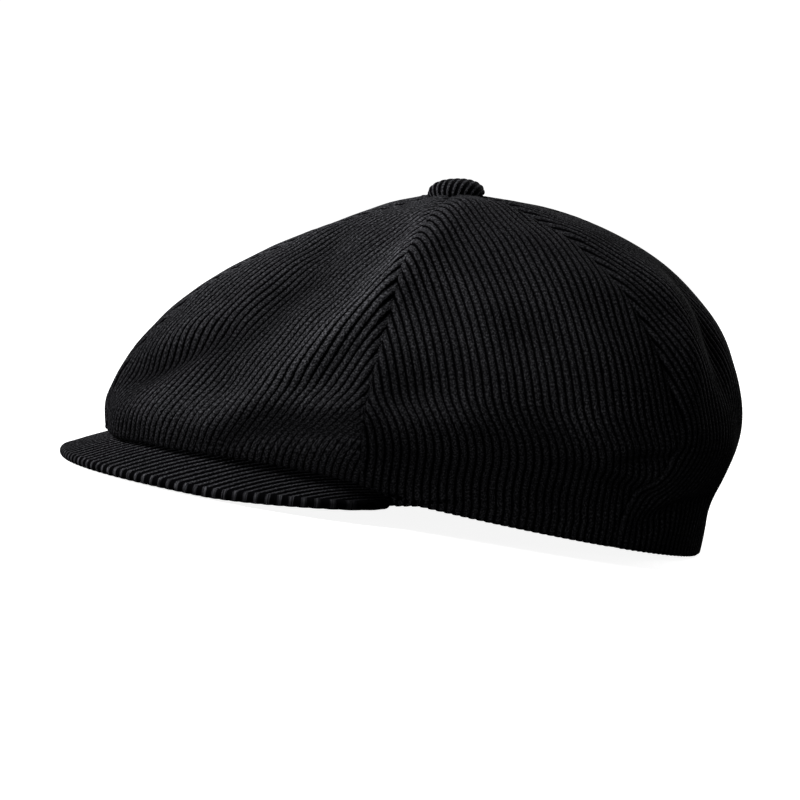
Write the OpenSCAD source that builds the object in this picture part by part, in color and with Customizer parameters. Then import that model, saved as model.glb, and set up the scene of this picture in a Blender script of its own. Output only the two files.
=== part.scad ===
// Newsboy cap: six-panel corduroy crown, covered button, stiff peak, lining and sweatband.
// The cap stands as it does on a table, on the edge of the peak and the back of the band.
// Front is -Y, up is +Z, the origin lies on the table under the middle of the cap.

/* [Head opening] */
// half length of the band, front to back
band_long = 100; // [94:0.5:106]
// half width of the band, side to side
band_wide = 89; // [84:0.5:94]
// slope of the opening down towards the back, degrees
band_slope = 3.9; // [2:0.1:5]
// height of the sweatband
sweatband_height = 28; // [20:1:34]

/* [Crown] */
// half width of the crown at its fullest
crown_half_width = 107.7; // [104:0.1:112]
// reach of the crown ahead of its fullest line
crown_front = 171.7; // [168:0.1:176]
// reach of the crown behind its fullest line
crown_back = 80.3; // [76:0.1:86]
// position of the fullest line, front to back
crown_middle = 26.1; // [22:0.1:28]
// height of the top of the crown
crown_height = 128.7; // [120:0.1:140]
// position of the top button, front to back
top_position = -20.1; // [-30:0.1:-10]
// thickness of the corduroy
cloth = 1.3; // [0.8:0.1:1.6]

/* [Button] */
// diameter of the covered button
button_width = 22.6; // [18:0.1:25]
// height of the covered button
button_height = 5.4; // [4:0.1:6.5]

/* [Peak] */
// how far the peak reaches out at the centre
peak_reach = 58.7; // [50:0.1:65]
// half of the angle that the peak spans round the head, degrees
peak_angle = 65; // [55:1:68]
// thickness of the peak board
board = 1.8; // [1.2:0.1:2]

/* [Show] */
// which piece to draw

/* [Hidden] */
seam_gap = 0.4;       // space between neighbouring pieces of cloth
peak_thick = 4.3;     // whole thickness of the peak
peak_top = 24.1;      // height of the top face of the peak where it meets the band in front
turn_in = 0.88;       // share of the crown profile at which the band begins
fullest = 0.6;        // share of the crown profile at which the crown is fullest
rest_middle = -27.05;     // middle of the whole cap from the middle of the head opening, front to back
rest_low = 0;         // lowest point of the edge of the peak
ink = [0.09, 0.09, 0.1];
satin = [0.16, 0.16, 0.18];

// ---- shape of the cap ----

// a value that changes smoothly from front to side to back
function around(a, front, side, back) =
    let (c = cos(a)) side + ((c > 0 ? front : back) - side) * c * c;

// top face of the peak, carried on under the crown
function peak_z(x, y) =
    let (d = -band_long - y,
         bend = 0.00189 + 0.0005 * max(-0.7, min(1, (-47 - y) / 65)))
    peak_top - 0.157 * d - 0.00293 * d * d - bend * x * x;

// bottom edge of the band
function band_z(a) =
    let (plane = band_long * (1 + cos(a)) * tan(band_slope),
         x = (band_wide + 1) * sin(a), y = -(band_long + 1) * cos(a),
         blend = max(0, min(1, (peak_angle + 8 - abs(a)) / 12)))
    plane + (peak_z(x, y) - peak_thick - 0.4 - plane) * blend * blend * (3 - 2 * blend);

// a point on the band, h above its edge and inwards from its outer face
function band_point(a, h, inwards) =
    [(band_wide - inwards) * sin(a), -(band_long - inwards) * cos(a), band_z(a) + h];

// outer face of the crown: a is the angle from the front, t runs from the button to the hem
function crown_point(a, t) =
    let (r = sin(90 * min(1, t / fullest)),
         low = around(a, -30, 13.5, 12.2),
         rim = [crown_half_width * sin(a),
                crown_middle - (cos(a) > 0 ? crown_front : crown_back) * cos(a),
                around(a, 22.2, 46, 49.1)],
         neck = [(band_wide + 1) * sin(a), -(band_long + 1) * cos(a),
                 max(low, band_z(a) + peak_thick + 0.9)],
         drop = pow(1 - pow(r, 2 / around(a, 1.76, 0.89, 0.82)), around(a, 1.1, 1.64, 0.98) / 2),
         dome = [rim[0] * r, top_position + (rim[1] - top_position) * r,
                 rim[2] + (crown_height - rim[2]) * drop],
         g = max(0, min(1, (t - fullest) / (turn_in - fullest))),
         inside = (1 - cos(180 * g)) / 2,
         under = [rim[0] + (neck[0] - rim[0]) * inside, rim[1] + (neck[1] - rim[1]) * inside,
                  rim[2] + (low - rim[2]) * g],
         over_peak = max(0, min(1, (peak_angle + 12 - abs(a)) / 10)),
         rest = peak_z(under[0], under[1]) + 0.5,
         k = max(0, (t - turn_in) / (1 - turn_in)))
    t <= fullest ? dome
    : t <= turn_in ? [under[0], under[1], over_peak > 0 ? max(under[2], rest * over_peak
                      + under[2] * (1 - over_peak)) : under[2]]
    : neck + (band_point(a, 0, 0) - neck) * k;

// the lining hangs as a smaller, rounder dome from the top of the sweatband
function lining_point(a, t) =
    let (r = sin(90 * min(1, t / 0.7)),
         rim = [0.85 * crown_half_width * sin(a),
                crown_middle - (cos(a) > 0 ? 0.85 * crown_front : 0.9 * crown_back) * cos(a),
                around(a, 48, 56, 56)],
         drop = pow(1 - pow(r, 2 / around(a, 1.6, 0.9, 0.82)), around(a, 1.1, 1.6, 1) / 2),
         top = crown_height - 4.4,
         dome = [rim[0] * r, top_position + (rim[1] - top_position) * r,
                 rim[2] + (top - rim[2]) * drop],
         foot = band_point(a, sweatband_height - 2.5, 1.9),
         g = 90 * max(0, (t - 0.7) / 0.3))
    t <= 0.7 ? dome : [rim[0] + (foot[0] - rim[0]) * (1 - cos(g)),
                       rim[1] + (foot[1] - rim[1]) * (1 - cos(g)), rim[2] + (foot[2] - rim[2]) * sin(g)];

function unit(v) = v / norm(v);
function crown_inwards(a, t) =
    unit(cross(crown_point(a + 0.5, t) - crown_point(a - 0.5, t),
               crown_point(a, t + 0.004) - crown_point(a, t - 0.004)));
function lining_inwards(a, t) =
    unit(cross(lining_point(a + 0.5, t) - lining_point(a - 0.5, t),
               lining_point(a, min(1, t + 0.004)) - lining_point(a, t - 0.004)));

// the shape above is drawn about the middle of the head opening; this sets it on the table
module place() { translate([0, -rest_middle, -rest_low]) children(); }

// ---- closed skins made from two grids of points ----

function quad(p, q, r, s, flip) = flip ? [[p, r, q], [q, r, s]] : [[p, q, r], [q, s, r]];

// outer and inner are lists of rows of points; wrap joins the last column to the first
module skin(outer, inner, wrap = false) {
    n = len(outer);
    m = len(outer[0]);
    size = n * m;
    last = wrap ? m - 1 : m - 2;
    points = concat([for (row = outer) for (p = row) p], [for (row = inner) for (p = row) p]);
    faces = concat(
        [for (i = [0 : n - 2], j = [0 : last]) let (k = (j + 1) % m)
            each quad(i * m + j, i * m + k, (i + 1) * m + j, (i + 1) * m + k, true)],
        [for (i = [0 : n - 2], j = [0 : last]) let (k = (j + 1) % m)
            each quad(size + i * m + j, size + i * m + k,
                      size + (i + 1) * m + j, size + (i + 1) * m + k, false)],
        [for (j = [0 : last]) let (k = (j + 1) % m)
            each quad(j, k, size + j, size + k, false)],
        [for (j = [0 : last]) let (k = (j + 1) % m, e = (n - 1) * m)
            each quad(e + j, e + k, size + e + j, size + e + k, true)],
        wrap ? [] : [for (i = [0 : n - 2])
            each quad(i * m, (i + 1) * m, size + i * m, size + (i + 1) * m, true)],
        wrap ? [] : [for (i = [0 : n - 2]) let (e = m - 1)
            each quad(i * m + e, (i + 1) * m + e, size + i * m + e, size + (i + 1) * m + e, false)]);
    place() polyhedron(points, faces, convexity = 10);
}

// angles across one of six gores, kept half a gap clear of each seam at this distance from the top
function gore_angles(from, across, columns) =
    let (inset = min(8, asin(min(1, seam_gap / 2 / max(1.5, across)))))
    [for (j = [0 : columns]) from + inset + (60 - 2 * inset) * j / columns];

crown_steps = concat([0.014, 0.05, 0.1, 0.16, 0.23, 0.3, 0.37, 0.43, 0.49, 0.54, 0.575, 0.6],
    [0.612, 0.624, 0.636, 0.65, 0.67, 0.7, 0.74, 0.79, 0.84, 0.88, 0.94, 1]);
lining_steps = [0.016, 0.07, 0.14, 0.25, 0.36, 0.47, 0.58, 0.7, 0.8, 0.9, 1];

function flat_reach(p) = norm([p[0], p[1] - top_position]);

module gore(from) {
    rows = [for (t = crown_steps) let (s = min(0.996, t))
        [for (a = gore_angles(from, flat_reach(crown_point(from + 30, t)), 9))
            [crown_point(a, t), crown_point(a, t) + cloth * crown_inwards(a, s)]]];
    color(ink) skin([for (row = rows) [for (p = row) p[0]]], [for (row = rows) [for (p = row) p[1]]]);
}

module lining_gore(from) {
    rows = [for (t = lining_steps)
        [for (a = gore_angles(from, flat_reach(lining_point(from + 30, t)), 7))
            [lining_point(a, t), lining_point(a, t) + 0.5 * lining_inwards(a, t)]]];
    color(satin) skin([for (row = rows) [for (p = row) p[0]]], [for (row = rows) [for (p = row) p[1]]]);
}

// a strip inside the band, from one angle to another
module band_strip(from, to, low, high, outer, inner, columns) {
    angles = [for (j = [0 : columns]) from + (to - from) * j / columns];
    skin([for (h = [high, low]) [for (a = angles) band_point(a, h, outer)]],
         [for (h = [high, low]) [for (a = angles) band_point(a, h, inner)]]);
}

// ---- crown ----

module panel_front_left() { gore(0); }
module panel_front_right() { gore(-60); }
module panel_side_left() { gore(60); }
module panel_side_right() { gore(-120); }
module panel_back_left() { gore(120); }
module panel_back_right() { gore(-180); }

// small round of cloth that strengthens the point where the six panels meet
module top_patch() {
    rows = [for (t = [0.012, 0.03, 0.06]) [for (j = [0 : 35]) let (a = j * 10, n = crown_inwards(a, t))
        [crown_point(a, t) + (cloth + 0.4) * n, crown_point(a, t) + (cloth + 1) * n]]];
    color(satin) skin([for (row = rows) [for (p = row) p[0]]],
                      [for (row = rows) [for (p = row) p[1]]], true);
}

// ---- covered button, seated square to the top of the crown ----

module at_top() { place() translate([0, top_position, crown_height]) rotate([8, 0, 0]) children(); }

// cloth drawn over the metal cap and turned in underneath
module button_cover() {
    r = button_width / 2;
    color(ink) at_top() rotate_extrude($fn = 72) difference() {
        union() {
            translate([0, 1.6]) intersection() {
                scale([1, (button_height - 1.6) / r]) circle(r);
                square([r, button_height]);
            }
            translate([0, 0.3]) square([r, 1.3]);
        }
        translate([-1, 0]) square([r - 2.4, 1.2]);
        translate([0, 1.55]) intersection() {
            scale([1, (button_height - 2.7) / (r - 1)]) circle(r - 1);
            square([r - 1, button_height]);
        }
        translate([0, 1.15]) square([r - 1, 0.5]);
    }
}

// pressed metal cap of the button
module button_cap() {
    r = button_width / 2 - 1.3;
    top = button_height - 3.1;
    color([0.6, 0.6, 0.62]) at_top() rotate_extrude($fn = 72) difference() {
        translate([0, 1.6]) intersection() {
            scale([1, top / r]) circle(r);
            square([r, button_height]);
        }
        translate([0, 1.5]) intersection() {
            scale([1, (top - 0.4) / (r - 0.5)]) circle(r - 0.5);
            square([r - 0.5, button_height]);
        }
    }
}

// disc that closes the button, with the hole its thread passes through
module button_back() {
    r = button_width / 2 - 3.7;
    color([0.3, 0.3, 0.32]) at_top() difference() {
        translate([0, 0, 0.3]) cylinder(r = r, h = 0.7, $fn = 72);
        translate([0, 0, -1]) cylinder(r = 1.4, h = 4, $fn = 32);
    }
}

// thread from inside the button to a knot under the crown
module button_thread() {
    color(ink) at_top() {
        translate([0, 0, -3]) cylinder(r = 0.9, h = 4.6, $fn = 24);
        translate([0, 0, -3.5]) cylinder(r = 1.9, h = 0.8, $fn = 24);
    }
}

// ---- peak ----

// plan of the peak: angle round the head, and distance out from its inner edge
function peak_plan(a, out) =
    let (n = unit([sin(a) / band_wide, -cos(a) / band_long]))
    [(band_wide + 1.6) * sin(a) + n[0] * out, -(band_long + 1.6) * cos(a) + n[1] * out];
function peak_out(a) = max(3.4, peak_reach * pow(max(0, cos(a * 90 / (peak_angle + 1))), 0.6));
function peak_point(a, out, down) = let (p = peak_plan(a, out)) [p[0], p[1], peak_z(p[0], p[1]) - down];

peak_columns = [for (j = [0 : 40]) -peak_angle + peak_angle * j / 20];
peak_shares = [0, 0.12, 0.25, 0.4, 0.55, 0.7, 0.84];

// a flat layer of the peak, short of the outer edge by a margin
module peak_layer(margin, top, bottom) {
    skin([for (s = concat(peak_shares, 1)) [for (a = peak_columns)
            peak_point(a, s * (peak_out(a) - margin), top)]],
         [for (s = concat(peak_shares, 1)) [for (a = peak_columns)
            peak_point(a, s * (peak_out(a) - margin), bottom)]]);
}

// corduroy cover, turned down over the edge of the board
module peak_top_cover() {
    edge = [[-1.7, 0, 1], [-0.3, 0.5, 1], [0.2, 1.7, 1], [0, 3.1, 1], [-0.7, 4.1, 1]];
    lining_edge = [[-1.9, 0.8], [-1.4, 0.95], [-0.9, 1.7], [-0.9, 3.1], [-1.2, 3.7]];
    color(ink) skin(
        concat([for (s = peak_shares) [for (a = peak_columns) peak_point(a, s * (peak_out(a) - 2), 0)]],
               [for (e = edge) [for (a = peak_columns) peak_point(a, peak_out(a) + e[0], e[1])]]),
        concat([for (s = peak_shares) [for (a = peak_columns) peak_point(a, s * (peak_out(a) - 2), 0.8)]],
               [for (e = lining_edge) [for (a = peak_columns) peak_point(a, peak_out(a) + e[0], e[1])]]));
}

module peak_board() { color([0.5, 0.45, 0.38]) peak_layer(1.7, 1.1, 1.1 + board); }
module peak_under_cover() { color(ink) peak_layer(1.7, 1.4 + board, 2.2 + board); }

// ---- inside the band ----

module forehead_pad() { color(satin) band_strip(-45, 45, 1, 22, 1.7, 3.1, 18); }
module band_stiffener_left() { color(satin) band_strip(46, 138, 1, 24, 1.7, 2.5, 18); }
module band_stiffener_right() { color(satin) band_strip(-138, -46, 1, 24, 1.7, 2.5, 18); }
module rear_elastic() { color(satin) band_strip(139, 221, 2, 22, 1.8, 2.9, 18); }

module sweatband() {
    angles = [for (j = [0 : 71]) j * 5];
    color(satin) skin(
        [for (h = [sweatband_height, 12, 0.6]) [for (a = angles) band_point(a, h, 3.4)]],
        [for (h = [sweatband_height, 12, 0.6]) [for (a = angles) band_point(a, h, 4.2)]], true);
}

// blank folded tape sewn inside the sweatband at the back
module size_label() { color([0.4, 0.4, 0.42]) band_strip(174, 186, 4, 24, 4.6, 5.2, 4); }

module lining_front_left() { lining_gore(0); }
module lining_front_right() { lining_gore(-60); }
module lining_side_left() { lining_gore(60); }
module lining_side_right() { lining_gore(-120); }
module lining_back_left() { lining_gore(120); }
module lining_back_right() { lining_gore(-180); }

panel_front_left();
panel_front_right();
panel_side_left();
panel_side_right();
panel_back_left();
panel_back_right();
button_cover();
button_cap();
button_back();
button_thread();
top_patch();
peak_top_cover();
peak_board();
peak_under_cover();
forehead_pad();
band_stiffener_left();
band_stiffener_right();
rear_elastic();
sweatband();
lining_front_left();
lining_front_right();
lining_side_left();
lining_side_right();
lining_back_left();
lining_back_right();
size_label();
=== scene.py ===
import bpy
import bmesh
import math
import numpy as np
from mathutils import Matrix, Vector


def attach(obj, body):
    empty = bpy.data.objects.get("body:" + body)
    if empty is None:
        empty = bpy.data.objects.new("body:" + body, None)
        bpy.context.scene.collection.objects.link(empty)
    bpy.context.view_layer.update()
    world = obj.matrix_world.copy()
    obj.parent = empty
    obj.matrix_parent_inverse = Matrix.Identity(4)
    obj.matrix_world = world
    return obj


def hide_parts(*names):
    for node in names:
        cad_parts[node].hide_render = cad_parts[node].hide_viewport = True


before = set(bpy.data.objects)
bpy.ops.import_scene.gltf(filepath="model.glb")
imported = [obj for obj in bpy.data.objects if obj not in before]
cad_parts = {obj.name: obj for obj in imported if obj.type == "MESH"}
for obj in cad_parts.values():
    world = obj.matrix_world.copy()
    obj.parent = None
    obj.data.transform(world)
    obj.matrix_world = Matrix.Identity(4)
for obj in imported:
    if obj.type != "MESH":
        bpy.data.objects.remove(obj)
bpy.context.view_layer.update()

# ---------------------------------------------------------------- crown panels
# Six gores of black cotton corduroy, sewn side by side from the button down to the hem.
# Each gore's wales run parallel to its own centre line, so they meet the seams slantwise.
# The cloth bags out over the peak in front and is drawn in to the band behind.

MIDDLE = 27.05                       # mm, middle of the head opening from the middle of the cap
BAND_LONG, BAND_WIDE = 100.0, 89.0   # mm, half sizes of the band
BAND_SLOPE = math.tan(math.radians(3.9))
CROWN_HEIGHT, TOP_Y = 128.7, -20.1   # mm, height of the top and how far forward it sits
CROWN_HALF = 107.7                   # mm, half width along the crown's fullest line
CROWN_FRONT, CROWN_BACK = 171.7, 80.3
CROWN_MIDDLE = 26.1                  # mm, where the front and back halves of that line meet
PEAK_THICK = 4.3                     # mm, board and both covers
PEAK_ANGLE = math.radians(65)        # from the centre front to the peak's end
WALE = 3.2                           # mm from wale to wale, eight to the inch
WALE_DEEP = 1.0                      # mm from the crest of a wale to its groove
ACROSS = 6                           # mesh columns to a wale
FULLEST, TURN_IN = 0.6, 0.88         # shares of the way down: the fullest line, the top of the band
SEAM_DEEP, PUFF = 1.0, 0.9           # mm, how far the seams sink in and the panels swell between them


def ease(v):
    v = np.clip(v, 0, 1)
    return v * v * (3 - 2 * v)


def around(a, front, side, back):
    """A value that goes smoothly from front to side to back round the cap."""
    c = np.cos(a)
    return side + (np.where(c > 0, front, back) - side) * c * c


def peak_z(x, y):
    """Height of the peak's upper face: it dips forward and bends down to its ends."""
    d = -BAND_LONG - y
    bend = 0.00189 + 0.0005 * np.clip((-47 - y) / 65, -0.7, 1)
    return 24.1 - 0.157 * d - 0.00293 * d * d - bend * x * x


def band_z(a):
    """Height of the hem: a plane that rises to the front, where the hem follows the peak's underside."""
    plane = BAND_LONG * (1 + np.cos(a)) * BAND_SLOPE
    on_peak = peak_z((BAND_WIDE + 1) * np.sin(a), -(BAND_LONG + 1) * np.cos(a)) - PEAK_THICK - 0.4
    off = np.abs((a + math.pi) % (2 * math.pi) - math.pi)
    return plane + (on_peak - plane) * ease((PEAK_ANGLE + math.radians(8) - off) / math.radians(12))


def cut_crown(a, t):
    """Point on the crown as cut: a goes round from the front, t from the button (0) to the hem (1)."""
    s, c = np.sin(a), np.cos(a)
    r = np.sin(np.clip(t / FULLEST, 0, 1) * math.pi / 2)
    rim = np.stack([CROWN_HALF * s, CROWN_MIDDLE - np.where(c > 0, CROWN_FRONT, CROWN_BACK) * c,
                    around(a, 22.2, 46, 49.1)], -1)
    low = around(a, -30, 13.5, 12.2)
    neck = np.stack([(BAND_WIDE + 1) * s, -(BAND_LONG + 1) * c,
                     np.maximum(low, band_z(a) + PEAK_THICK + 0.9)], -1)
    drop = np.clip(1 - r ** (2 / around(a, 1.76, 0.89, 0.82)), 0, 1) ** (around(a, 1.1, 1.64, 0.98) / 2)
    dome = np.stack([rim[..., 0] * r, TOP_Y + (rim[..., 1] - TOP_Y) * r,
                     rim[..., 2] + (CROWN_HEIGHT - rim[..., 2]) * drop], -1)
    g = np.clip((t - FULLEST) / (TURN_IN - FULLEST), 0, 1)
    off = np.abs((a + math.pi) % (2 * math.pi) - math.pi)
    k = ((1 - np.cos(math.pi * g)) / 2) ** (1 + 1.1 * ease((math.radians(80) - off) / math.radians(30)))
    under = rim + (neck - rim) * k[..., None]
    under[..., 2] = rim[..., 2] + (low - rim[..., 2]) * g
    over = np.clip((PEAK_ANGLE + math.radians(12) - off) / math.radians(10), 0, 1)
    rest = peak_z(under[..., 0], under[..., 1]) + 0.5
    lifted = np.maximum(under[..., 2], rest * over + under[..., 2] * (1 - over))
    under[..., 2] = np.where(over > 0, lifted, under[..., 2])
    hem = np.stack([BAND_WIDE * s, -BAND_LONG * c, band_z(a)], -1)
    h = np.clip((t - TURN_IN) / (1 - TURN_IN), 0, 1)
    band = neck + (hem - neck) * h[..., None]
    roll = np.clip((t - 1) / 0.04, 0, 1) * math.pi          # past the hem the edge rolls inwards
    band[..., 0] -= 1.1 * (1 - np.cos(roll)) * s
    band[..., 1] += 1.1 * (1 - np.cos(roll)) * c
    band[..., 2] -= 0.5 * np.sin(roll) - 0.95 * (1 - np.cos(roll))
    out = np.where((t <= FULLEST)[..., None], dome, under)
    return np.where((t > TURN_IN)[..., None], band, out)


def crown_point(a, t):
    """The worn crown: its fullest line is rounded over, because cloth takes no sharp turn there."""
    a, t = np.broadcast_arrays(np.asarray(a, float), np.asarray(t, float))
    reach = 0.075 * ease((t - 0.34) / 0.2) * ease((TURN_IN - t) / 0.22)
    reach = reach * (1 - 0.75 * ease(np.cos(a) * 1.4 - 0.4))
    parts = [(0.3, 0), (0.22, -0.55), (0.22, 0.55), (0.13, -1.1), (0.13, 1.1)]
    return sum(share * cut_crown(a, t + reach * k) for share, k in parts)


def outwards(shape, a, t):
    """Unit normals of a shape function, pointing out of the cap."""
    da = shape(a + 0.008, t) - shape(a - 0.008, t)
    dt = shape(a, t + 0.003) - shape(a, t - 0.003)
    n = np.cross(dt, da)
    return n / np.maximum(np.linalg.norm(n, axis=-1, keepdims=True), 1e-9)


# Where the cloth folds on the wearer's left: places in mm, half width, height (hollows are negative)
FOLDS = [
    ([(30, -22, 122), (57, -42, 101), (71, -58, 80), (77, -82, 54), (70, -104, 32), (66, -112, 27)],
     8, 5.4),
    ([(36, -29, 119), (66, -42, 96), (80, -56, 72), (84, -68, 58)], 14, 2.6),
    ([(24, -72, 106), (42, -84, 87), (52, -98, 65), (55, -110, 48)], 14, -5.0),
    ([(20, -141, 38), (31, -134, 42), (39, -123, 51), (44, -113, 59)], 8.5, -5.4),
    ([(28, -141, 25), (45, -129, 27), (60, -116, 27)], 9, 3.0),
    ([(8, -143, 22), (26, -139, 22), (46, -127, 23)], 7, 1.8),
    ([(69, -105, 34), (83, -82, 40), (93, -58, 43)], 5, 1.4),
    ([(73, -99, 28), (85, -76, 30), (94, -52, 34)], 7, -2.2),
    ([(93, -52, 48), (97, -35, 54), (101, -21, 53)], 9, -1.8),
    ([(90, -54, 27), (93, -40, 27), (93, -28, 25)], 6, -2.0),
    ([(43, 49, 110), (59, 64, 93), (76, 70, 72), (84, 68, 58)], 9, 2.6),
    ([(26, 66, 104), (44, 80, 90), (58, 84, 72)], 8, -3.4),
    ([(101, 42, 37), (97, 56, 38), (91, 67, 41)], 4.5, -3.2),
    ([(72, 58, 13), (62, 77, 22), (43, 93, 25)], 4.5, -3.0),
    ([(101, 20, 32), (90, 43, 27), (76, 62, 24)], 5, -2.2),
    ([(77, -21, 90), (94, -16, 69), (103, -17, 47)], 12, 1.6),
]


def fold_height(p):
    """How far the folds push the cloth out at each point, in mm."""
    total = np.zeros(p.shape[:-1])
    for side, share in ((1, 1.0), (-1, 0.85)):
        q = p * np.array([side, 1, 1])
        for path, wide, high in FOLDS:
            path = np.array(path, float)
            lengths = np.linalg.norm(np.diff(path, axis=0), axis=1)
            best, place, done = np.full(p.shape[:-1], 1e9), np.zeros(p.shape[:-1]), 0.0
            for i, length in enumerate(lengths):
                step = path[i + 1] - path[i]
                k = np.clip(((q - path[i]) @ step) / length ** 2, 0, 1)
                d = np.linalg.norm(q - path[i] - k[..., None] * step, axis=-1)
                place = np.where(d < best, (done + k * length) / lengths.sum(), place)
                best, done = np.minimum(d, best), done + length
            fade = np.sin(math.pi * np.clip(0.12 + 0.76 * place, 0, 1)) ** 0.7
            total += share * high * fade * np.exp(-(best / wide) ** 2)
    return total


def unevenness(p):
    """Slow waves that no cut cloth is without, in mm."""
    x, y, z = p[..., 0], p[..., 1], p[..., 2]
    return (0.6 * np.sin(x / 13 + y / 19 + 1.3) * np.sin(z / 15 + y / 31)
            + 0.45 * np.sin(x / 7.3 - z / 9.1 + 0.4) * np.sin(y / 11.7 + 2.1)
            + 0.28 * np.sin(y / 5.1 + z / 6.3) * np.sin(x / 8.3 + 0.8))


def wale_height(x):
    """Round-topped wales with narrow grooves: 1 on a crest, 0 in a groove."""
    return np.abs(np.cos(math.pi * x / WALE)) ** 0.85


def woven(name, columns, rows, place, shade, flat, painted_tone=None):
    """A grid of cloth moved into place; shade holds the wale height, flat the place on the cut cloth,
    and the last array, where given, the painted light and shade that scales the cloth's colour:
    darker gores at the sides and back, lighter fold ridges and top, darker hollows, front and peak ends."""
    bm = bmesh.new()
    bmesh.ops.create_grid(bm, x_segments=columns - 1, y_segments=rows - 1, size=0.5)
    mesh = bpy.data.meshes.new(name)
    bm.to_mesh(mesh)
    bm.free()
    raw = np.empty(columns * rows * 3)
    mesh.vertices.foreach_get("co", raw)
    raw = raw.reshape(-1, 3)
    j = np.rint((raw[:, 0] + 0.5) * (columns - 1)).astype(int)
    i = np.rint((raw[:, 1] + 0.5) * (rows - 1)).astype(int)
    co = place[i, j] * 0.001
    mesh.vertices.foreach_set("co", co.ravel())
    rib = mesh.attributes.new("wale", "FLOAT", "POINT")
    rib.data.foreach_set("value", shade[i, j].astype(np.float32))
    cut = mesh.attributes.new("cut", "FLOAT_VECTOR", "POINT")
    cut.data.foreach_set("vector", flat[i, j].astype(np.float32).ravel())
    # Painted light and shade, which the cloth shader multiplies into its crest colour
    painted_light = mesh.attributes.new("painted_light", "FLOAT", "POINT")
    painted_tone = np.ones(place.shape[:2]) if painted_tone is None else painted_tone
    painted_light.data.foreach_set("value", painted_tone[i, j].astype(np.float32))
    bm = bmesh.new()
    bm.from_mesh(mesh)
    bmesh.ops.remove_doubles(bm, verts=bm.verts, dist=0.00001)
    bmesh.ops.dissolve_degenerate(bm, dist=0.00001, edges=bm.edges)
    for face in bm.faces:
        face.smooth = True
    bm.to_mesh(mesh)
    bm.free()
    piece = bpy.data.objects.new(name, mesh)
    bpy.context.collection.objects.link(piece)
    return piece


def thicken(piece, thickness):
    made = piece.modifiers.new("thickness", "SOLIDIFY")
    made.thickness = thickness * 0.001
    made.offset = -1
    made.use_rim = True


def gore(start, shape, steps, lift, spacing, foot=0, gather=0):
    """Lay one gore from angle start to start + 60 degrees; its columns follow the wales.

    Under the fullest line the wales hang straight, so their centre line turns by foot degrees;
    gather is the share of the narrowing there that draws them together instead of cutting them off."""
    angles = np.radians(start + np.linspace(0, 60, 121))
    mid = math.radians(start + 30)
    middle = mid + math.radians(foot) * ease((steps - 0.5) / 0.4)
    a, t = np.meshgrid(angles, steps)
    p = shape(a, t)
    seg = np.linalg.norm(np.diff(p, axis=1), axis=-1)
    s = np.concatenate([np.zeros((len(steps), 1)), np.cumsum(seg, axis=1)], 1)
    s -= np.array([np.interp(m, angles, row) for m, row in zip(middle, s)])[:, None]
    centre = shape(middle, steps)
    run = np.concatenate([[0], np.cumsum(np.linalg.norm(np.diff(centre, axis=0), axis=1))])
    reach = np.linalg.norm(centre[:, :2] - np.array([0, TOP_Y]), axis=1)
    flare = np.clip(np.gradient(reach, run + np.arange(len(run)) * 1e-6), 0, 1)
    turn = (a - mid) * flare[:, None]
    x = s * np.sinc(turn / math.pi)
    wide = x[:, -1] - x[:, 0]
    past = np.arange(len(steps)) > np.argmax(wide)
    x *= np.where(past, 1 + gather * (wide.max() / wide - 1), 1)[:, None]
    wanted = np.arange(int(x.min() / spacing) - 1, int(x.max() / spacing) + 2) * spacing
    col = np.clip(wanted[None, :], x[:, :1], x[:, -1:])
    at = np.stack([np.interp(col[i], x[i], angles) for i in range(len(steps))])
    tt = np.broadcast_to(steps[:, None], at.shape)
    base = shape(at, tt)
    n = outwards(shape, at, tt)
    edge = np.minimum(col - x[:, :1], x[:, -1:] - col)
    half = (x[:, -1:] - x[:, :1]) / 2
    # The third answer of lift is painted light and shade for the cloth's colour
    h, rib, painted_shading = lift(base, col, edge, half, tt)
    base = base + np.array([0, 0, 1.5]) * (ease(tt / 0.25) * ease((1 - tt) / 0.3))[..., None]
    along = np.broadcast_to(run[:, None], at.shape)
    flat = np.stack([col, along, np.full(at.shape, start)], -1)   # the third number sets the gores apart
    place = base + n * h[..., None]
    place[..., 1] += MIDDLE
    place[..., 2] = np.maximum(place[..., 2], 0.45)               # the lowest hem only touches the floor
    return place, rib, flat, painted_shading


def crown_lift(base, x, edge, half, t):
    """Wales, seams and folds of a crown panel: how far out the cloth lies, wale height, and the painted
    light and shade that scales its colour.
    """
    rib = wale_height(x)
    seam = np.exp(-(edge / 1.7) ** 2)
    puff = PUFF * np.clip(1 - (1 - edge / np.maximum(half, 1)) ** 2, 0, 1)
    puff = puff * ease(t / 0.2) * ease((0.9 - t) / 0.3)
    on_peak = ease((-40 - base[..., 1]) / 20) * ease((t - 0.64) / 0.08)
    deep = WALE_DEEP * (0.25 + 0.75 * ease((0.995 - t) / 0.05))
    h = deep * (rib - 1) - SEAM_DEEP * seam * (0.3 + 0.7 * ease((0.98 - t) / 0.1)) + puff - PUFF
    folds = fold_height(base) * ease(t / 0.12) * ease((1 - t) / 0.12) * (1 - on_peak)
    waves = unevenness(base) * ease(t / 0.12) * ease((1 - t) / 0.25) * (1 - on_peak)
    painted_front_shade = 0.42 * ease((-116 - base[..., 1]) / 30)         # painted shade: darker where the front turns down
    # Painted light and shade: lighter where folds and waves push the cloth out, darker in the hollows
    painted_shading = np.clip(1 + 0.11 * folds + 0.12 * waves, 0.4, 1.6) * (1 - painted_front_shade)
    painted_shading = painted_shading * (0.82 + 0.36 * ease((base[..., 2] - 30) / 70))  # painted light: lighter towards the top
    return h + folds + waves, rib, painted_shading


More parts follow.
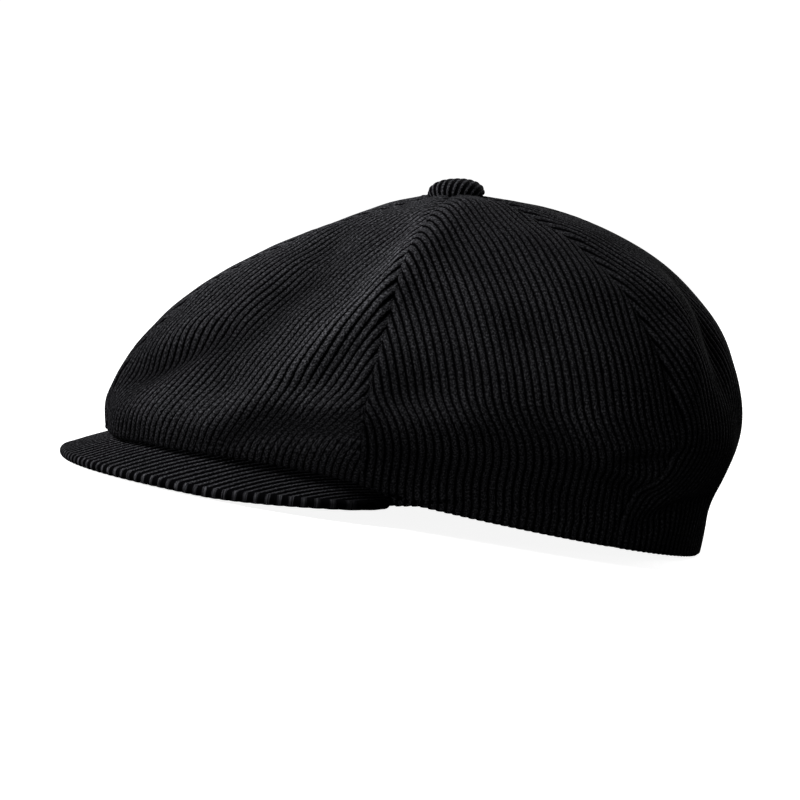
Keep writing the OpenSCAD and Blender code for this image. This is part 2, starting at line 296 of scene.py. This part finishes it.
steps = np.concatenate([np.linspace(0.012, 0.6, 92), np.linspace(0.606, 0.88, 54),
                        np.linspace(0.9, 1.0, 10), np.linspace(1.008, 1.04, 5)])
panels = []
for title, start, foot in (("panel_front_right", -60, 15), ("panel_front_left", 0, -15),
                           ("panel_side_left", 60, 22), ("panel_side_right", -120, -22),
                           ("panel_back_left", 120, 0), ("panel_back_right", -180, 0)):
    place, rib, flat, painted_shading = gore(start, crown_point, steps, crown_lift, WALE / ACROSS, foot,
                                    1 if "front" in title else 0)
    # Painted shade: the side and back gores are coloured darker than the front ones, for the way each
    # gore's pile takes the light; this multiplies the painted light and shade of the folds, top and front
    painted_tone = {"front": 0.72, "side": 0.42, "back": 0.4}[title.split("_")[1]]
    piece = woven(title + "_cloth", place.shape[1], place.shape[0], place, rib, flat, painted_tone * painted_shading)
    thicken(piece, 1.1)
    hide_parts(title)
    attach(piece, "root")
    panels.append(piece)


def linear(hex_colour):
    """sRGB hex to the linear colour a shader reads."""
    out = []
    for i in (0, 2, 4):
        v = int(hex_colour[i + 1:i + 3], 16) / 255
        out.append(v / 12.92 if v <= 0.04045 else ((v + 0.055) / 1.055) ** 2.4)
    return (*out, 1.0)


def add(tree, kind, settings=None, links=None):
    """One node with its settings and the sockets that feed it."""
    node = tree.nodes.new(kind)
    for key, value in (settings or {}).items():
        if isinstance(key, int) or (key in node.inputs and not hasattr(node, key)):
            node.inputs[key].default_value = value
        else:
            setattr(node, key, value)
    for key, source in (links or {}).items():
        tree.links.new(source, node.inputs[key])
    return node


def material(name):
    made = bpy.data.materials.new(name)
    made.use_nodes = True
    tree = made.node_tree
    tree.nodes.clear()
    return made, tree


# Cut-pile cotton corduroy, dyed black. The grooves are coloured near black, painted shade; the crests
# of the wales are lighter, partly for their brushed pile and partly as painted sheen. Single tufts are
# finer than can show, so the pile's flecks are drawn 0.4 by 0.9 mm; their brightest are painted glints.
corduroy, tree = material("corduroy_black_cut_pile")
cut = add(tree, "ShaderNodeAttribute", {"attribute_name": "cut"})
wale = add(tree, "ShaderNodeAttribute", {"attribute_name": "wale"})
combed = add(tree, "ShaderNodeMapping", {}, {"Vector": cut.outputs["Vector"]})
combed.inputs["Scale"].default_value = (2.5, 1.1, 1.0)
pile = add(tree, "ShaderNodeTexNoise", {"Scale": 1.0, "Detail": 2.0, "Roughness": 0.6},
           {"Vector": combed.outputs["Vector"]})
tuft, worn = [add(tree, "ShaderNodeTexNoise", {"Scale": scale, "Detail": 2.0, "Roughness": 0.5},
                  {"Vector": cut.outputs["Vector"]}) for scale in (0.55, 0.045)]
fleck = add(tree, "ShaderNodeMapRange",
            {"From Min": 0.44, "From Max": 0.7, "To Min": 0.4, "To Max": 2.9},
            {"Value": pile.outputs["Fac"]})
patch = add(tree, "ShaderNodeMapRange",
            {"From Min": 0.3, "From Max": 0.7, "To Min": 0.82, "To Max": 1.18},
            {"Value": worn.outputs["Fac"]})
both = add(tree, "ShaderNodeMath", {"operation": "MULTIPLY"},
           {0: fleck.outputs["Result"], 1: patch.outputs["Result"]})
# Painted light and shade per point: darker side and back gores, lighter fold ridges and top, darker
# hollows, front and peak ends
painted_light = add(tree, "ShaderNodeAttribute", {"attribute_name": "painted_light"})
shade = add(tree, "ShaderNodeMath", {"operation": "MULTIPLY"},
            {0: both.outputs[0], 1: painted_light.outputs["Fac"]})
ragged = add(tree, "ShaderNodeMath", {"operation": "MULTIPLY_ADD", 1: 0.3, 2: -0.15},
             {0: pile.outputs["Fac"]})
brushed = add(tree, "ShaderNodeMath", {"operation": "ADD"},
              {0: wale.outputs["Fac"], 1: ragged.outputs[0]})
crest = add(tree, "ShaderNodeMapRange",
            {"interpolation_type": "SMOOTHSTEP", "From Min": 0.7, "From Max": 1.06},
            {"Value": brushed.outputs[0]})
lit = add(tree, "ShaderNodeMath", {"operation": "MULTIPLY"},
          {0: crest.outputs["Result"], 1: shade.outputs[0]})
share = add(tree, "ShaderNodeMath", {"operation": "MULTIPLY", 1: 0.4}, {0: lit.outputs[0]})
# The cloth's colour: black dye, with painted shade in the grooves and painted sheen on the crests
dye_and_painted_light = add(tree, "ShaderNodeMix", {"data_type": "RGBA"}, {0: share.outputs[0]})
dye_and_painted_light.inputs[6].default_value = linear("#010102")
dye_and_painted_light.inputs[7].default_value = linear("#5a5a5e")
heap = add(tree, "ShaderNodeMath", {"operation": "MULTIPLY_ADD", 1: 0.6},
           {0: tuft.outputs["Fac"], 2: pile.outputs["Fac"]})
fluff = add(tree, "ShaderNodeBump", {"Strength": 0.7, "Distance": 0.0006}, {"Height": heap.outputs[0]})
cloth = add(tree, "ShaderNodeBsdfPrincipled",
            {"Roughness": 0.9, "Specular IOR Level": 0.02},
            {"Base Color": dye_and_painted_light.outputs[2], "Normal": fluff.outputs["Normal"]})
add(tree, "ShaderNodeOutputMaterial", {}, {"Surface": cloth.outputs["BSDF"]})
for piece in panels:
    piece.data.materials.append(corduroy)

# ---------------------------------------------------------------- covered button
# A 22 mm metal cap and back disc, covered with a round of the same corduroy and tied down
# through the point where the six gores meet.

BUTTON_R, BUTTON_H = 11.5, 5.6       # mm, with the cloth
BUTTON_WALE = 0.85                   # share of the spacing left once the cloth is eased round the button


def button_profile(s):
    """Radius and height on the button at arc length s from the middle of its top."""
    k = np.linspace(0, 1, 200) * math.pi / 2
    r = BUTTON_R * np.sin(k) ** 0.85
    z = BUTTON_H * np.cos(k)
    r = np.concatenate([r, [BUTTON_R, BUTTON_R - 0.3, BUTTON_R - 1.0, BUTTON_R - 2.6]])
    z = np.concatenate([z, [-0.7, -1.4, -1.9, -2.1]])
    run = np.concatenate([[0], np.cumsum(np.hypot(np.diff(r), np.diff(z)))])
    return np.interp(s, run, r), np.interp(s, run, z), run[-1]


length = button_profile(np.array([0.0]))[2]
spacing = WALE * BUTTON_WALE / ACROSS
half_columns = int(length / spacing)
xs = np.linspace(-length, length, 2 * half_columns + 1)
ks = np.linspace(-1, 1, 61)
X, K = np.meshgrid(xs, ks)
Y = K * np.sqrt(np.maximum(length ** 2 - X ** 2, 0))
S = np.hypot(X, Y)
r, z, _ = button_profile(S)
rib = wale_height(X / BUTTON_WALE)
beyond, before = button_profile(S + 0.05), button_profile(np.maximum(S - 0.05, 0))
nz, nr = beyond[0] - before[0], before[1] - beyond[1]
size = np.maximum(np.hypot(nz, nr), 1e-6)
nz, nr = nz / size, nr / size
cosine, sine = X / np.maximum(S, 1e-6), Y / np.maximum(S, 1e-6)
h = 0.6 * (rib - 1) * np.clip((length - S) / 2, 0, 1)
place = np.stack([(r + nr * h) * cosine, (r + nr * h) * sine, z + nz * h], -1)
turn = Matrix.Rotation(math.radians(11), 3, "X") @ Matrix.Rotation(math.radians(62), 3, "Z")
place = place @ np.array(turn).T + np.array([0, TOP_Y + MIDDLE - 0.8, CROWN_HEIGHT])
button = woven("button_cover_cloth", len(xs), len(ks), place, rib, np.stack([X, Y, X * 0 + 400], -1))
button.data.materials.append(corduroy)
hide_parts("button_cover")
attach(button, "root")

# ---------------------------------------------------------------- peak
# A crescent of plastic board between two corduroy covers. The top cover's wales run from
# the band to the edge and roll over it; a fine seam joins it to the under cover.

PEAK_REACH, PEAK_LEAST = 60.2, 3.4   # mm out from the band, in the middle and at the ends


def peak_plan(a, out):
    """A point in plan, out mm away from the band at angle a."""
    nx, ny = np.sin(a) / BAND_WIDE, -np.cos(a) / BAND_LONG
    size = np.hypot(nx, ny)
    x, y = (BAND_WIDE + 1.6) * np.sin(a), -(BAND_LONG + 1.6) * np.cos(a)
    return x + nx / size * out, y + ny / size * out


def peak_out(a):
    """How far the peak reaches out from the band at angle a."""
    share = np.clip(np.cos(a * math.pi / 2 / (PEAK_ANGLE + math.radians(1))), 0, 1)
    return np.maximum(PEAK_LEAST, PEAK_REACH * share ** 0.6)


def spread(y):
    """The stretched cover's wales open out a little towards the edge: their spacing at this y."""
    return (108 - y) / 212


def peak_grid(margin, rows):
    """Columns follow the wales from the band to the edge; w is the place across the cut cloth."""
    a = np.linspace(0, PEAK_ANGLE, 400)
    ox, oy = peak_plan(a, peak_out(a) - margin)
    ix, iy = peak_plan(a, a * 0)
    ow, iw = ox / spread(oy), ix / spread(iy)
    widest = int(np.argmax(ow))
    bw, by = np.concatenate([iw, ow[widest:][::-1]]), np.concatenate([iy, oy[widest:][::-1]])
    order = np.argsort(bw, kind="stable")
    end = ow[widest]
    n = int(end / (WALE / ACROSS))
    w = np.concatenate([[-end], np.arange(-n, n + 1) * WALE / ACROSS, [end]])
    yf = np.interp(np.abs(w), ow[:widest + 1], oy[:widest + 1])
    yb = np.interp(np.abs(w), bw[order], by[order])
    k = ease(np.linspace(0, 1, rows)) * 0.5 + np.linspace(0, 1, rows) * 0.5
    Y = yb + (yf - yb) * k[:, None]
    return np.broadcast_to(w, Y.shape) * spread(Y), Y, w, yf, yb


def directions(xs, ys, facing):
    """Unit directions in plan, square to an edge."""
    dx, dy = np.gradient(xs), np.gradient(ys)
    n = np.stack([-dy, dx], -1) * facing
    return n / np.maximum(np.linalg.norm(n, axis=-1, keepdims=True), 1e-9)


PEAK_DEEP = 0.75                     # mm, the cover is stretched over the board, so its wales are lower
EDGE_RIB = 0.22                      # the wales are pressed flatter where they roll over the edge
R = PEAK_THICK / 2


def end_rise(w):
    """The peak thins out to its ends: how much its lower face rises there."""
    return 0.5 * ease((np.abs(w) / np.abs(w).max() - 0.72) / 0.28)


X, Y, w, yf, yb = peak_grid(R, 80)
Z = peak_z(X, Y)
rib = np.broadcast_to(wale_height(w), X.shape)
e = 0.5
slope = np.stack([-(peak_z(X + e, Y) - peak_z(X - e, Y)) / (2 * e),
                  -(peak_z(X, Y + e) - peak_z(X, Y - e)) / (2 * e), np.ones_like(X)], -1)
slope /= np.linalg.norm(slope, axis=-1, keepdims=True)
ripple = 0.15 * np.sin(X / 11 + 0.6) * np.sin(Y / 17) + 0.08 * np.sin(X / 5.2 + Y / 23)
near = np.minimum(np.abs(Y - yf), np.abs(Y - yb))
deep = PEAK_DEEP * (EDGE_RIB + (1 - EDGE_RIB) * ease(near / 5))
top = np.stack([X, Y, Z], -1) + slope * (deep * (rib - 1) + ripple)[..., None]
rolls = []
for side, ys in (("front", yf), ("back", yb)):
    xs = w * spread(ys)
    out = directions(xs, ys, -1 if side == "front" else 1)
    if side == "back":
        out[np.hypot(xs / (BAND_WIDE + 2), ys / (BAND_LONG + 2)) < 1] *= 0.15
    out[0], out[-1] = (-1, 0), (1, 0)
    rows = []
    for k in np.radians([12, 28, 46, 64, 84, 106, 128, 146, 160]):
        reach, down = np.sin(k), 1 - np.cos(k)
        n = np.stack([out[:, 0] * np.sin(k), out[:, 1] * np.sin(k), np.full(len(xs), np.cos(k))], -1)
        p = np.stack([xs + out[:, 0] * R * reach, ys + out[:, 1] * R * reach,
                      peak_z(xs, ys) - (R - end_rise(w) / 2) * down], -1)
        rows.append(p + n * (PEAK_DEEP * EDGE_RIB * (wale_height(w) - 1))[:, None])
    rolls.append(rows)
place = np.concatenate([np.array(rolls[1][::-1]), top, np.array(rolls[0])], 0)
place[..., 1] += MIDDLE
rib = np.broadcast_to(wale_height(w), place.shape[:2])
flat = np.stack([np.broadcast_to(w, rib.shape), place[..., 1], np.full(rib.shape, 500.0)], -1)
# Painted shade: the peak top is coloured darker towards its ends, which sit under the crown's overhang
painted_tone = np.broadcast_to(0.85 - 0.6 * ease((np.abs(w) / np.abs(w).max() - 0.86) / 0.12), rib.shape)
peak = woven("peak_top_cloth", place.shape[1], place.shape[0], place, rib, flat, painted_tone)
peak.data.flip_normals()
peak.data.materials.append(corduroy)
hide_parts("peak_top_cover")
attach(peak, "root")

X, Y, w, yf, yb = peak_grid(1.9, 60)
Z = peak_z(X, Y) - PEAK_THICK + 0.45 + end_rise(w)
rib = np.broadcast_to(wale_height(w), X.shape)
place = np.stack([X, Y + MIDDLE, Z + 0.35 * (1 - rib)], -1)
under = woven("peak_under_cloth", place.shape[1], place.shape[0], place, rib,
              np.stack([X, Y, X * 0 + 600], -1))
under.data.materials.append(corduroy)
thicken(under, 0.5)
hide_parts("peak_under_cover")
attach(under, "root")

# ---------------------------------------------------------------- lining
# Six gores of black satin, sewn to the top of the sweatband and hanging inside the crown
# as a smaller dome.

def lining_point(a, t):
    """Point on the lining's dome: a goes round from the front, t from the top (0) to the sweatband (1)."""
    a, t = np.broadcast_arrays(np.asarray(a, float), np.asarray(t, float))
    s, c = np.sin(a), np.cos(a)
    r = np.sin(np.clip(t / 0.7, 0, 1) * math.pi / 2)
    rim = np.stack([91.5 * s, CROWN_MIDDLE - np.where(c > 0, 0.85 * CROWN_FRONT, 0.9 * CROWN_BACK) * c,
                    around(a, 48, 56, 56)], -1)
    drop = np.clip(1 - r ** (2 / around(a, 1.6, 0.9, 0.82)), 0, 1) ** (around(a, 1.1, 1.6, 1.0) / 2)
    top = CROWN_HEIGHT - 4.4
    dome = np.stack([rim[..., 0] * r, TOP_Y + (rim[..., 1] - TOP_Y) * r,
                     rim[..., 2] + (top - rim[..., 2]) * drop], -1)
    foot = np.stack([(BAND_WIDE - 1.9) * s, -(BAND_LONG - 1.9) * c, band_z(a) + 25.5], -1)
    g = np.clip((t - 0.7) / 0.3, 0, 1) * math.pi / 2
    low = rim + (foot - rim) * (1 - np.cos(g))[..., None]
    low[..., 2] = rim[..., 2] + (foot[..., 2] - rim[..., 2]) * np.sin(g)
    return np.where((t <= 0.7)[..., None], dome, low)


def lining_lift(base, x, edge, half, t):
    """Small wrinkles and seams of the lining, called and answered as crown_lift is."""
    seam = np.exp(-(edge / 1.2) ** 2)
    x0, y0, z0 = base[..., 0], base[..., 1], base[..., 2]
    wrinkle = (0.5 * np.sin(x0 / 6 + z0 / 9) * np.sin(y0 / 8 + z0 / 14)
               + 0.3 * np.sin(z0 / 4.5 + x0 / 15 + y0 / 12))
    slack = 2.8 * ease(t / 0.15) * ease((1 - t) / 0.25)           # mm, it hangs clear of the crown
    h = wrinkle * ease(t / 0.15) * ease((1 - t) / 0.1) - 0.5 * seam - 0.4 - slack
    return h, np.ones_like(x), np.ones_like(x)


# Polyester satin: a close, smooth weave with long floats, so it shows a soft streaked gloss.
satin, tree = material("lining_satin_black")
cut = add(tree, "ShaderNodeAttribute", {"attribute_name": "cut"})
stretch = add(tree, "ShaderNodeMapping", {}, {"Vector": cut.outputs["Vector"]})
stretch.inputs["Scale"].default_value = (6.0, 0.5, 1.0)
thread = add(tree, "ShaderNodeTexNoise", {"Scale": 1.0, "Detail": 2.0}, {"Vector": stretch.outputs[0]})
tone = add(tree, "ShaderNodeMix", {"data_type": "RGBA"}, {0: thread.outputs["Fac"]})
tone.inputs[6].default_value = linear("#141418")
tone.inputs[7].default_value = linear("#24242a")
fine = add(tree, "ShaderNodeBump", {"Strength": 0.25, "Distance": 0.0001},
           {"Height": thread.outputs["Fac"]})
sheet = add(tree, "ShaderNodeBsdfPrincipled", {"Roughness": 0.42, "Specular IOR Level": 0.5,
                                               "Sheen Weight": 0.15},
            {"Base Color": tone.outputs[2], "Normal": fine.outputs["Normal"]})
add(tree, "ShaderNodeOutputMaterial", {}, {"Surface": sheet.outputs["BSDF"]})

steps = np.concatenate([np.linspace(0.014, 0.7, 60), np.linspace(0.71, 1.0, 26)])
for title, start in (("lining_front_right", -60), ("lining_front_left", 0),
                     ("lining_side_left", 60), ("lining_back_left", 120),
                     ("lining_back_right", -180), ("lining_side_right", -120)):
    place, rib, flat, painted_shading = gore(start, lining_point, steps, lining_lift, 1.7)
    piece = woven(title + "_cloth", place.shape[1], place.shape[0], place, rib, flat)
    thicken(piece, 0.4)
    piece.data.materials.append(satin)
    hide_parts(title)
    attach(piece, "root")

# ---------------------------------------------------------------- sweatband and what lies behind it
# A ring of ribbed tape 28 mm high, sewn to the hem and resting on the head, with a felt pad
# at the forehead, canvas at the sides, elastic and a blank folded label at the back.

TAPE_RADIUS = 94                     # mm, mean radius of the ring, for its length


def band_ring(start, end, low, high, inwards, columns, rows):
    """Angles, share of the height and places on an upright strip inside the band."""
    a = np.radians(np.linspace(start, end, columns))
    k = np.linspace(0, 1, rows)
    A, H = np.meshgrid(a, k)
    Z = band_z(A) + high + (low - high) * H
    place = np.stack([(BAND_WIDE - inwards) * np.sin(A), -(BAND_LONG - inwards) * np.cos(A), Z], -1)
    return A, H, place


A, H, place = band_ring(0, 360, 0.6, 28, 3.4, 721, 24)
inward = np.stack([-np.sin(A), np.cos(A), np.zeros_like(A)], -1)
edges = np.exp(-(H / 0.04) ** 2) + np.exp(-((1 - H) / 0.04) ** 2)
place += inward * (0.25 * np.sin(A * 90) * 0.3 + 0.2 * np.sin(A * 7 + H * 2) - 0.25 * edges)[..., None]
place[..., 1] += MIDDLE
flat = np.stack([A * TAPE_RADIUS, H * 28, A * 0], -1)
tape = woven("sweatband_tape", 721, 24, place, np.ones_like(A), flat)
thicken(tape, 0.7)

# Grosgrain: a close ribbed tape of polyester, matt with a faint line of light on each rib.
grosgrain, tree = material("grosgrain_tape_black")
cut = add(tree, "ShaderNodeAttribute", {"attribute_name": "cut"})
ribs = add(tree, "ShaderNodeTexWave", {"wave_type": "BANDS", "bands_direction": "X", "wave_profile": "SIN",
                                       "Scale": 0.35, "Distortion": 0.6, "Detail": 1.0},
           {"Vector": cut.outputs["Vector"]})
tone = add(tree, "ShaderNodeMix", {"data_type": "RGBA"}, {0: ribs.outputs["Fac"]})
tone.inputs[6].default_value = linear("#101013")
tone.inputs[7].default_value = linear("#26262b")
fine = add(tree, "ShaderNodeBump", {"Strength": 0.6, "Distance": 0.0003}, {"Height": ribs.outputs["Fac"]})
body = add(tree, "ShaderNodeBsdfPrincipled", {"Roughness": 0.62, "Specular IOR Level": 0.35,
                                              "Sheen Weight": 0.2},
           {"Base Color": tone.outputs[2], "Normal": fine.outputs["Normal"]})
add(tree, "ShaderNodeOutputMaterial", {}, {"Surface": body.outputs["BSDF"]})
tape.data.materials.append(grosgrain)
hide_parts("sweatband")
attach(tape, "root")

A, H, place = band_ring(-45, 45, 1.2, 21.8, 1.8, 91, 21)
place[..., 1] += MIDDLE
flat = np.stack([A * TAPE_RADIUS, H * 21, A * 0], -1)
pad = woven("forehead_pad_felt", 91, 21, place, np.ones_like(A), flat)
thicken(pad, 1.1)
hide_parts("forehead_pad")
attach(pad, "root")


def plain_cloth(name, dark, light, size, rough):
    """Plain stuff that is out of sight: fibre colour and a fine bump at its own scale in mm."""
    made, tree = material(name)
    spot = add(tree, "ShaderNodeTexCoord")
    grain = add(tree, "ShaderNodeTexNoise", {"Scale": 1000 / size, "Detail": 3.0},
                {"Vector": spot.outputs["Object"]})
    tone = add(tree, "ShaderNodeMix", {"data_type": "RGBA"}, {0: grain.outputs["Fac"]})
    tone.inputs[6].default_value = linear(dark)
    tone.inputs[7].default_value = linear(light)
    fine = add(tree, "ShaderNodeBump", {"Strength": 0.4, "Distance": 0.0002},
               {"Height": grain.outputs["Fac"]})
    body = add(tree, "ShaderNodeBsdfPrincipled", {"Roughness": rough},
               {"Base Color": tone.outputs[2], "Normal": fine.outputs["Normal"]})
    add(tree, "ShaderNodeOutputMaterial", {}, {"Surface": body.outputs["BSDF"]})
    return made


felt = plain_cloth("needled_felt_grey", "#2a2a2e", "#3c3c42", 0.8, 0.95)
pad.data.materials.append(felt)
node_finish = {
    "band_stiffener_left": ("stiff_canvas_natural", "#8c8878", "#a7a392", 0.6, 0.9),
    "band_stiffener_right": ("stiff_canvas_natural", "#8c8878", "#a7a392", 0.6, 0.9),
    "rear_elastic": ("woven_elastic_black", "#1a1a1d", "#2c2c31", 0.7, 0.8),
    "size_label": ("woven_label_tape_black", "#19191c", "#2a2a2e", 0.5, 0.7),
    "top_patch": ("lining_patch_black", "#141418", "#24242a", 0.5, 0.6),
    "button_thread": ("twisted_thread_black", "#121214", "#202024", 0.3, 0.7),
    "button_back": ("moulded_nylon_black", "#131315", "#1c1c1f", 1.5, 0.45),
    "peak_board": ("polyethylene_sheet_grey", "#4a4a4c", "#565658", 6.0, 0.5),
}
finishes = {}
for title, (name, *looks) in node_finish.items():
    if name not in finishes:
        finishes[name] = plain_cloth(name, *looks)
    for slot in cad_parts[title].material_slots:
        slot.material = finishes[name]

# Tinplate: bright pressed steel with faint drawing marks, seen only with the cover off.
tinplate, tree = material("pressed_tinplate")
spot = add(tree, "ShaderNodeTexCoord")
marks = add(tree, "ShaderNodeTexNoise", {"Scale": 900.0, "Detail": 2.0}, {"Vector": spot.outputs["Object"]})
gloss = add(tree, "ShaderNodeMapRange", {"To Min": 0.22, "To Max": 0.4}, {"Value": marks.outputs["Fac"]})
shell = add(tree, "ShaderNodeBsdfPrincipled", {"Metallic": 1.0, "Base Color": linear("#c6c7c9")},
            {"Roughness": gloss.outputs["Result"]})
add(tree, "ShaderNodeOutputMaterial", {}, {"Surface": shell.outputs["BSDF"]})
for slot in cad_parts["button_cap"].material_slots:
    slot.material = tinplate

# ---------------------------------------------------------------- floor, light and camera
# A plain pale floor that curves up all round, under soft light from above the front, with a
# weak lamp low on the left and one behind on the right.

FLOOR_FLAT, FLOOR_BEND, WALL_HIGH = 2.7, 0.9, 3.0    # m
bm = bmesh.new()
profile = [bm.verts.new((0, 0, 0)), bm.verts.new((FLOOR_FLAT, 0, 0))]
bm.edges.new(profile)
bend = bmesh.ops.spin(bm, geom=profile[1:], cent=(FLOOR_FLAT, 0, FLOOR_BEND), axis=(0, -1, 0),
                      angle=math.radians(90), steps=16)
foot = [v for v in bend["geom_last"] if isinstance(v, bmesh.types.BMVert)]
wall = bmesh.ops.extrude_vert_indiv(bm, verts=foot)["verts"]
bmesh.ops.translate(bm, verts=wall, vec=(0, 0, WALL_HIGH - FLOOR_BEND))
bmesh.ops.spin(bm, geom=bm.verts[:] + bm.edges[:], cent=(0, 0, 0), axis=(0, 0, 1),
               angle=math.radians(360), steps=96, use_merge=True)
bmesh.ops.remove_doubles(bm, verts=bm.verts, dist=0.0001)
bmesh.ops.dissolve_degenerate(bm, dist=0.0001, edges=bm.edges)
bmesh.ops.recalc_face_normals(bm, faces=bm.faces)
for face in bm.faces:
    face.smooth = True
mesh = bpy.data.meshes.new("studio_floor")
bm.to_mesh(mesh)
bm.free()
floor = bpy.data.objects.new("studio_floor", mesh)
bpy.context.collection.objects.link(floor)
paper, tree = material("white_paper_floor")
matt = add(tree, "ShaderNodeBsdfPrincipled", {"Roughness": 0.95, "Specular IOR Level": 0.1,
                                              "Base Color": linear("#c8c8c8"),
                                              "Emission Color": linear("#ffffff"),
                                              "Emission Strength": 0.9})
add(tree, "ShaderNodeOutputMaterial", {}, {"Surface": matt.outputs["BSDF"]})
floor.data.materials.append(paper)
floor.visible_diffuse = False
floor.visible_glossy = False

world = bpy.data.worlds.new("studio")
world.use_nodes = True
world.node_tree.nodes["Background"].inputs["Color"].default_value = (1, 1, 1, 1)
world.node_tree.nodes["Background"].inputs["Strength"].default_value = 0.06
bpy.context.scene.world = world
bpy.context.scene.view_settings.view_transform = "Standard"

VIEW_WIDE = 322.2                    # mm across the view at the middle of the cap
AIM_RIGHT, AIM_UP = -31.9, -12.6     # mm from the middle of the cap to the middle of the view
DISTANCE = 2.0                       # m from the camera to the cap
view_az, view_el, roll = math.radians(80.08), math.radians(4.0), math.radians(9.25)
back = Vector((math.sin(view_az) * math.cos(view_el), -math.cos(view_az) * math.cos(view_el),
               math.sin(view_el)))
right = Vector((math.cos(view_az), math.sin(view_az), 0))
up = back.cross(right)
cam_right = right * math.cos(roll) + up * math.sin(roll)
cam_up = -right * math.sin(roll) + up * math.cos(roll)


def lamp(name, place, aim, size, power):
    """A soft rectangular lamp; places and sizes in m, power in W."""
    data = bpy.data.lights.new(name, "AREA")
    data.shape = "RECTANGLE"
    data.size, data.size_y = size
    data.energy = power
    made = bpy.data.objects.new(name, data)
    made.location = place
    made.rotation_euler = (Vector(aim) - Vector(place)).to_track_quat("-Z", "Y").to_euler()
    bpy.context.collection.objects.link(made)


lamp("key_softbox", (-0.25, -1.7, 1.56), (0, 0, 0.06), (0.8, 0.8), 70)
lamp("low_fill", (1.85, -1.35, 0.1), (0, 0, 0.03), (1.3, 0.18), 14)
lamp("rear_fill", (-1.73, 1.21, 1.04), (0, 0, 0.06), (1.0, 1.0), 26)

lens = bpy.data.cameras.new("studio_camera")
lens.sensor_width = 36.0
lens.lens = lens.sensor_width * DISTANCE / (VIEW_WIDE * 0.001)
lens.clip_end = 20
view = bpy.data.objects.new("studio_camera", lens)
target = Vector((0, MIDDLE * 0.001, 0.060))
centre = target + cam_right * AIM_RIGHT * 0.001 + cam_up * AIM_UP * 0.001
spot = centre + back * DISTANCE
rows = [(cam_right[i], cam_up[i], back[i], spot[i]) for i in range(3)]
view.matrix_world = Matrix((*rows, (0, 0, 0, 1)))
bpy.context.collection.objects.link(view)
bpy.context.scene.camera = view
